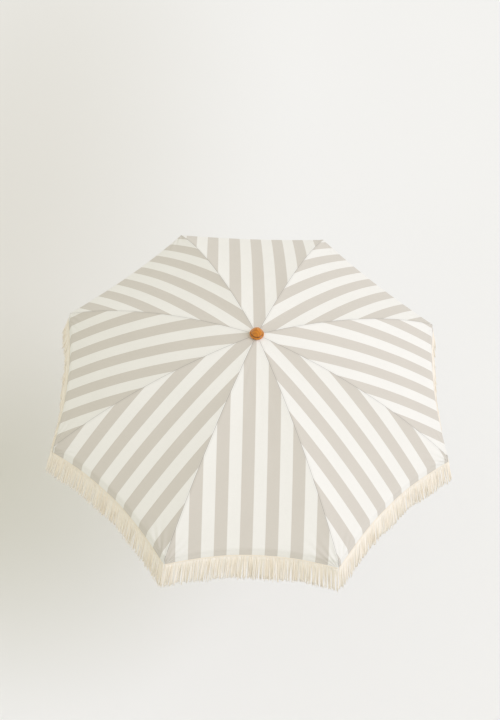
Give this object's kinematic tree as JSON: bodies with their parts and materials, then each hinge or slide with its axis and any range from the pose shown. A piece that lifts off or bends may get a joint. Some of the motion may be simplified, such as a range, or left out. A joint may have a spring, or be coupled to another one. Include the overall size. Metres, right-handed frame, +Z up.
{
  "type": "beach umbrella",
  "caption": "Ribbed beach umbrella with striped panels, a fringed valance, a turned wooden finial, a sliding runner and a tilting two-part wooden pole.",
  "frame": {"origin": "ground tip of the pole, which is the bottom centre of the bounding box", "axes": "+Z up along the pole to the finial, -Y the side the canopy tilts towards, +X to the right of it"},
  "size_m": [1.752, 1.752, 2.173],
  "materials": {
    "pole_wood": "varnished",
    "finial_wood": "varnished",
    "nylon": "satin",
    "steel": "zinc plated",
    "aluminium": "satin",
    "dark_plastic": "satin",
    "fibreglass": "semi-gloss",
    "canvas": "woven stripes"
  },
  "bodies": {
    "pole_lower": {"lower_pole": "pole_wood", "foot_cap": "aluminium", "pole_ferrule": "aluminium"},
    "pole_screw": {"pole_screw": "dark_plastic"},
    "tilt_lower": {"tilt_fork_lower": "aluminium", "tilt_pin": "steel"},
    "tilt_knob": {"tilt_knob": "dark_plastic"},
    "mast": {"tilt_fork_upper": "aluminium", "upper_pole": "pole_wood", "crown_hub": "nylon", "crown_ring": "steel", "finial": "finial_wood"},
    "runner": {"runner": "nylon"},
    "runner_screw": {"runner_screw": "dark_plastic"},
    "rib_1": {"rib_1": "fibreglass", "rib_tip_1": "nylon"},
    "stretcher_1": {"stretcher_1": "steel"},
    "panel_1": {"panel_1": "canvas"},
    "valance_1": {"valance_1": "canvas"},
    "rib_2": {"rib_2": "fibreglass", "rib_tip_2": "nylon"},
    "stretcher_2": {"stretcher_2": "steel"},
    "panel_2": {"panel_2": "canvas"},
    "valance_2": {"valance_2": "canvas"},
    "rib_3": {"rib_3": "fibreglass", "rib_tip_3": "nylon"},
    "stretcher_3": {"stretcher_3": "steel"},
    "panel_3": {"panel_3": "canvas"},
    "valance_3": {"valance_3": "canvas"},
    "rib_4": {"rib_4": "fibreglass", "rib_tip_4": "nylon"},
    "stretcher_4": {"stretcher_4": "steel"},
    "panel_4": {"panel_4": "canvas"},
    "valance_4": {"valance_4": "canvas"},
    "rib_5": {"rib_5": "fibreglass", "rib_tip_5": "nylon"},
    "stretcher_5": {"stretcher_5": "steel"},
    "panel_5": {"panel_5": "canvas"},
    "valance_5": {"valance_5": "canvas"},
    "rib_6": {"rib_6": "fibreglass", "rib_tip_6": "nylon"},
    "stretcher_6": {"stretcher_6": "steel"},
    "panel_6": {"panel_6": "canvas"},
    "valance_6": {"valance_6": "canvas"},
    "rib_7": {"rib_7": "fibreglass", "rib_tip_7": "nylon"},
    "stretcher_7": {"stretcher_7": "steel"},
    "panel_7": {"panel_7": "canvas"},
    "valance_7": {"valance_7": "canvas"},
    "rib_8": {"rib_8": "fibreglass", "rib_tip_8": "nylon"},
    "stretcher_8": {"stretcher_8": "steel"},
    "panel_8": {"panel_8": "canvas"},
    "valance_8": {"valance_8": "canvas"}
  },
  "joints": [
    {"name": "pole_joint", "type": "slide", "parent": "pole_lower", "child": "tilt_lower", "axis": [0, 0, 1], "range_m": [0, 0.107]},
    {"name": "pole_screw_turn", "type": "hinge", "parent": "pole_lower", "child": "pole_screw", "pos_m": [0.03, 0, 0.96], "axis": [1, 0, 0], "continuous": true},
    {"name": "tilt", "type": "hinge", "parent": "tilt_lower", "child": "mast", "pos_m": [0, 0, 1.062], "axis": [1, 0, 0], "range_deg": [0, 35]},
    {"name": "tilt_knob_turn", "type": "hinge", "parent": "tilt_lower", "child": "tilt_knob", "pos_m": [0.025, 0, 1.062], "axis": [1, 0, 0], "continuous": true},
    {"name": "runner_slide", "type": "slide", "parent": "mast", "child": "runner", "axis": [0, 0, -1], "range_m": [0, 0.412]},
    {"name": "runner_screw_turn", "type": "hinge", "parent": "runner", "child": "runner_screw", "pos_m": [0.035, 0, 1.65], "axis": [1, 0, 0], "continuous": true},
    {"name": "rib_1_fold", "type": "hinge", "parent": "mast", "child": "rib_1", "pos_m": [0.02494, 0.01033, 2.1178], "axis": [-0.3827, 0.9239, 0], "range_deg": [0, 66.45]},
    {"name": "stretcher_1_fold", "type": "hinge", "parent": "rib_1", "child": "stretcher_1", "pos_m": [0.34073, 0.14114, 2.03119], "axis": [-0.3827, 0.9239, 0], "range_deg": [-107.82, 0]},
    {"name": "panel_1_fold", "type": "hinge", "parent": "mast", "child": "panel_1", "pos_m": [0.0244, 0.0244, 2.123], "axis": [-0.7071, 0.7071, 0], "range_deg": [0, 64.05], "deforming": ["panel_1"]},
    {"name": "valance_1_hang", "type": "hinge", "parent": "panel_1", "child": "valance_1", "pos_m": [0.57105, 0.57105, 1.78338], "axis": [-0.7071, 0.7071, 0], "range_deg": [-64.05, 0], "deforming": ["valance_1"]},
    {"name": "rib_2_fold", "type": "hinge", "parent": "mast", "child": "rib_2", "pos_m": [0.01033, 0.02494, 2.1178], "axis": [-0.9239, 0.3827, 0], "range_deg": [0, 66.45]},
    {"name": "stretcher_2_fold", "type": "hinge", "parent": "rib_2", "child": "stretcher_2", "pos_m": [0.14114, 0.34073, 2.03119], "axis": [-0.9239, 0.3827, 0], "range_deg": [-107.82, 0]},
    {"name": "panel_2_fold", "type": "hinge", "parent": "mast", "child": "panel_2", "pos_m": [0, 0.0345, 2.123], "axis": [-1, 0, 0], "range_deg": [0, 64.05], "deforming": ["panel_2"]},
    {"name": "valance_2_hang", "type": "hinge", "parent": "panel_2", "child": "valance_2", "pos_m": [0, 0.80759, 1.78338], "axis": [-1, 0, 0], "range_deg": [-64.05, 0], "deforming": ["valance_2"]},
    {"name": "rib_3_fold", "type": "hinge", "parent": "mast", "child": "rib_3", "pos_m": [-0.01033, 0.02494, 2.1178], "axis": [-0.9239, -0.3827, 0], "range_deg": [0, 66.45]},
    {"name": "stretcher_3_fold", "type": "hinge", "parent": "rib_3", "child": "stretcher_3", "pos_m": [-0.14114, 0.34073, 2.03119], "axis": [-0.9239, -0.3827, 0], "range_deg": [-107.82, 0]},
    {"name": "panel_3_fold", "type": "hinge", "parent": "mast", "child": "panel_3", "pos_m": [-0.0244, 0.0244, 2.123], "axis": [-0.7071, -0.7071, 0], "range_deg": [0, 64.05], "deforming": ["panel_3"]},
    {"name": "valance_3_hang", "type": "hinge", "parent": "panel_3", "child": "valance_3", "pos_m": [-0.57105, 0.57105, 1.78338], "axis": [-0.7071, -0.7071, 0], "range_deg": [-64.05, 0], "deforming": ["valance_3"]},
    {"name": "rib_4_fold", "type": "hinge", "parent": "mast", "child": "rib_4", "pos_m": [-0.02494, 0.01033, 2.1178], "axis": [-0.3827, -0.9239, 0], "range_deg": [0, 66.45]},
    {"name": "stretcher_4_fold", "type": "hinge", "parent": "rib_4", "child": "stretcher_4", "pos_m": [-0.34073, 0.14114, 2.03119], "axis": [-0.3827, -0.9239, 0], "range_deg": [-107.82, 0]},
    {"name": "panel_4_fold", "type": "hinge", "parent": "mast", "child": "panel_4", "pos_m": [-0.0345, 0, 2.123], "axis": [0, -1, 0], "range_deg": [0, 64.05], "deforming": ["panel_4"]},
    {"name": "valance_4_hang", "type": "hinge", "parent": "panel_4", "child": "valance_4", "pos_m": [-0.80759, 0, 1.78338], "axis": [0, -1, 0], "range_deg": [-64.05, 0], "deforming": ["valance_4"]},
    {"name": "rib_5_fold", "type": "hinge", "parent": "mast", "child": "rib_5", "pos_m": [-0.02494, -0.01033, 2.1178], "axis": [0.3827, -0.9239, 0], "range_deg": [0, 66.45]},
    {"name": "stretcher_5_fold", "type": "hinge", "parent": "rib_5", "child": "stretcher_5", "pos_m": [-0.34073, -0.14114, 2.03119], "axis": [0.3827, -0.9239, 0], "range_deg": [-107.82, 0]},
    {"name": "panel_5_fold", "type": "hinge", "parent": "mast", "child": "panel_5", "pos_m": [-0.0244, -0.0244, 2.123], "axis": [0.7071, -0.7071, 0], "range_deg": [0, 64.05], "deforming": ["panel_5"]},
    {"name": "valance_5_hang", "type": "hinge", "parent": "panel_5", "child": "valance_5", "pos_m": [-0.57105, -0.57105, 1.78338], "axis": [0.7071, -0.7071, 0], "range_deg": [-64.05, 0], "deforming": ["valance_5"]},
    {"name": "rib_6_fold", "type": "hinge", "parent": "mast", "child": "rib_6", "pos_m": [-0.01033, -0.02494, 2.1178], "axis": [0.9239, -0.3827, 0], "range_deg": [0, 66.45]},
    {"name": "stretcher_6_fold", "type": "hinge", "parent": "rib_6", "child": "stretcher_6", "pos_m": [-0.14114, -0.34073, 2.03119], "axis": [0.9239, -0.3827, 0], "range_deg": [-107.82, 0]},
    {"name": "panel_6_fold", "type": "hinge", "parent": "mast", "child": "panel_6", "pos_m": [0, -0.0345, 2.123], "axis": [1, 0, 0], "range_deg": [0, 64.05], "deforming": ["panel_6"]},
    {"name": "valance_6_hang", "type": "hinge", "parent": "panel_6", "child": "valance_6", "pos_m": [0, -0.80759, 1.78338], "axis": [1, 0, 0], "range_deg": [-64.05, 0], "deforming": ["valance_6"]},
    {"name": "rib_7_fold", "type": "hinge", "parent": "mast", "child": "rib_7", "pos_m": [0.01033, -0.02494, 2.1178], "axis": [0.9239, 0.3827, 0], "range_deg": [0, 66.45]},
    {"name": "stretcher_7_fold", "type": "hinge", "parent": "rib_7", "child": "stretcher_7", "pos_m": [0.14114, -0.34073, 2.03119], "axis": [0.9239, 0.3827, 0], "range_deg": [-107.82, 0]},
    {"name": "panel_7_fold", "type": "hinge", "parent": "mast", "child": "panel_7", "pos_m": [0.0244, -0.0244, 2.123], "axis": [0.7071, 0.7071, 0], "range_deg": [0, 64.05], "deforming": ["panel_7"]},
    {"name": "valance_7_hang", "type": "hinge", "parent": "panel_7", "child": "valance_7", "pos_m": [0.57105, -0.57105, 1.78338], "axis": [0.7071, 0.7071, 0], "range_deg": [-64.05, 0], "deforming": ["valance_7"]},
    {"name": "rib_8_fold", "type": "hinge", "parent": "mast", "child": "rib_8", "pos_m": [0.02494, -0.01033, 2.1178], "axis": [0.3827, 0.9239, 0], "range_deg": [0, 66.45]},
    {"name": "stretcher_8_fold", "type": "hinge", "parent": "rib_8", "child": "stretcher_8", "pos_m": [0.34073, -0.14114, 2.03119], "axis": [0.3827, 0.9239, 0], "range_deg": [-107.82, 0]},
    {"name": "panel_8_fold", "type": "hinge", "parent": "mast", "child": "panel_8", "pos_m": [0.0345, 0, 2.123], "axis": [0, 1, 0], "range_deg": [0, 64.05], "deforming": ["panel_8"]},
    {"name": "valance_8_hang", "type": "hinge", "parent": "panel_8", "child": "valance_8", "pos_m": [0.80759, 0, 1.78338], "axis": [0, 1, 0], "range_deg": [-64.05, 0], "deforming": ["valance_8"]}
  ],
  "couplings": [
    {"joint": "rib_1_fold", "follows": "runner_slide", "rad_per_m": 2.8129},
    {"joint": "stretcher_1_fold", "follows": "runner_slide", "rad_per_m": -4.5652},
    {"joint": "panel_1_fold", "follows": "runner_slide", "rad_per_m": 2.7112},
    {"joint": "valance_1_hang", "follows": "runner_slide", "rad_per_m": -2.7112},
    {"joint": "rib_2_fold", "follows": "runner_slide", "rad_per_m": 2.8129},
    {"joint": "stretcher_2_fold", "follows": "runner_slide", "rad_per_m": -4.5652},
    {"joint": "panel_2_fold", "follows": "runner_slide", "rad_per_m": 2.7112},
    {"joint": "valance_2_hang", "follows": "runner_slide", "rad_per_m": -2.7112},
    {"joint": "rib_3_fold", "follows": "runner_slide", "rad_per_m": 2.8129},
    {"joint": "stretcher_3_fold", "follows": "runner_slide", "rad_per_m": -4.5652},
    {"joint": "panel_3_fold", "follows": "runner_slide", "rad_per_m": 2.7112},
    {"joint": "valance_3_hang", "follows": "runner_slide", "rad_per_m": -2.7112},
    {"joint": "rib_4_fold", "follows": "runner_slide", "rad_per_m": 2.8129},
    {"joint": "stretcher_4_fold", "follows": "runner_slide", "rad_per_m": -4.5652},
    {"joint": "panel_4_fold", "follows": "runner_slide", "rad_per_m": 2.7112},
    {"joint": "valance_4_hang", "follows": "runner_slide", "rad_per_m": -2.7112},
    {"joint": "rib_5_fold", "follows": "runner_slide", "rad_per_m": 2.8129},
    {"joint": "stretcher_5_fold", "follows": "runner_slide", "rad_per_m": -4.5652},
    {"joint": "panel_5_fold", "follows": "runner_slide", "rad_per_m": 2.7112},
    {"joint": "valance_5_hang", "follows": "runner_slide", "rad_per_m": -2.7112},
    {"joint": "rib_6_fold", "follows": "runner_slide", "rad_per_m": 2.8129},
    {"joint": "stretcher_6_fold", "follows": "runner_slide", "rad_per_m": -4.5652},
    {"joint": "panel_6_fold", "follows": "runner_slide", "rad_per_m": 2.7112},
    {"joint": "valance_6_hang", "follows": "runner_slide", "rad_per_m": -2.7112},
    {"joint": "rib_7_fold", "follows": "runner_slide", "rad_per_m": 2.8129},
    {"joint": "stretcher_7_fold", "follows": "runner_slide", "rad_per_m": -4.5652},
    {"joint": "panel_7_fold", "follows": "runner_slide", "rad_per_m": 2.7112},
    {"joint": "valance_7_hang", "follows": "runner_slide", "rad_per_m": -2.7112},
    {"joint": "rib_8_fold", "follows": "runner_slide", "rad_per_m": 2.8129},
    {"joint": "stretcher_8_fold", "follows": "runner_slide", "rad_per_m": -4.5652},
    {"joint": "panel_8_fold", "follows": "runner_slide", "rad_per_m": 2.7112},
    {"joint": "valance_8_hang", "follows": "runner_slide", "rad_per_m": -2.7112}
  ]
}
